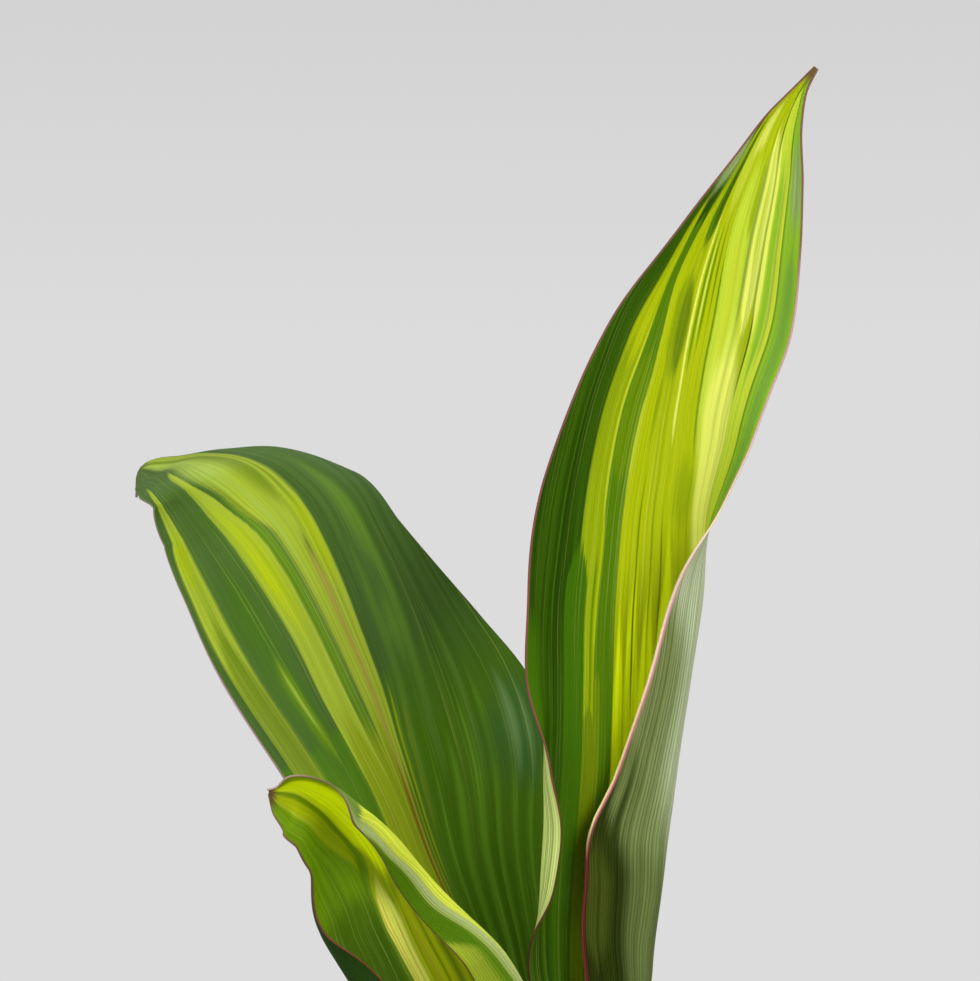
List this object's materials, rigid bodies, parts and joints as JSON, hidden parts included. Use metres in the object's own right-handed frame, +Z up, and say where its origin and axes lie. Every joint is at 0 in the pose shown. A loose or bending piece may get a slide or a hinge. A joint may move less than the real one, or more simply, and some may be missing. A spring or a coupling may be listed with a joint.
{
  "type": "potted cordyline",
  "caption": "Potted cordyline: a plain tapered pot of soil, a ringed cane and broad striped leaves, upright and arching.",
  "frame": {"origin": "centre of the pot's flat foot, on the surface that the pot stands on", "axes": "+Z up along the cane; the viewer of the picture looks along +Y, so the front faces -Y and the tall leaf leans towards +X"},
  "size_m": [0.5024, 0.452, 0.6596],
  "materials": {
    "pot": "satin glaze",
    "soil": "matte, crumbly",
    "cane": "matte bark",
    "young_leaf": "satin",
    "leaf_tall": "satin, translucent",
    "leaf_left": "satin, translucent",
    "leaf_front": "satin, translucent",
    "low_leaves": "satin, translucent"
  },
  "bodies": {
    "root": {"pot": "pot", "soil": "soil", "cane": "cane", "leaf_spear": "young_leaf", "leaf_tall": "leaf_tall", "leaf_left": "leaf_left", "leaf_front": "leaf_front", "leaf_low_1": "low_leaves", "leaf_low_2": "low_leaves", "leaf_low_3": "low_leaves", "leaf_low_4": "low_leaves", "leaf_low_5": "low_leaves"}
  },
  "joints": []
}
